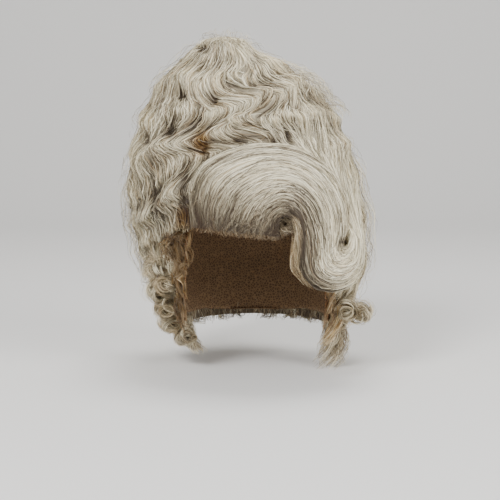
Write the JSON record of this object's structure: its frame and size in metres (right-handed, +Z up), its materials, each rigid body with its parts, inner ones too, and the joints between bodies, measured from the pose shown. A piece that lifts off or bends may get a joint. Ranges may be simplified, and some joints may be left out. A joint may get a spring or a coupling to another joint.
{
  "type": "wig",
  "caption": "Tall grey bouffant wig in set waves, with a fringe swept across the forehead into a large cheek curl.",
  "frame": {"origin": "top of the wearer's head, where the inside of the cap rests on it", "axes": "+Z up, the face looks along -Y, the wearer's left is +X"},
  "size_m": [0.2292, 0.2366, 0.3031],
  "materials": {
    "grey_hair": "waved hair, soft sheen",
    "blond_hair": "frizzy hair, soft sheen",
    "lace": "fine lace, matt",
    "cap_net": "woven net, matt"
  },
  "bodies": {
    "root": {"crown_hair": "grey_hair", "right_hair": "grey_hair", "left_hair": "grey_hair", "fringe_sweep": "grey_hair", "right_nape_lock": "grey_hair", "left_nape_lock": "grey_hair", "right_side_curl_1": "grey_hair", "right_side_curl_2": "grey_hair", "right_side_curl_3": "grey_hair", "right_side_curl_4": "grey_hair", "right_side_curl_5": "grey_hair", "right_side_curl_6": "grey_hair", "left_side_curl_1": "grey_hair", "left_side_curl_2": "grey_hair", "left_side_curl_3": "grey_hair", "left_front_lock": "blond_hair", "front_lace": "lace", "wig_cap": "cap_net"}
  },
  "joints": []
}
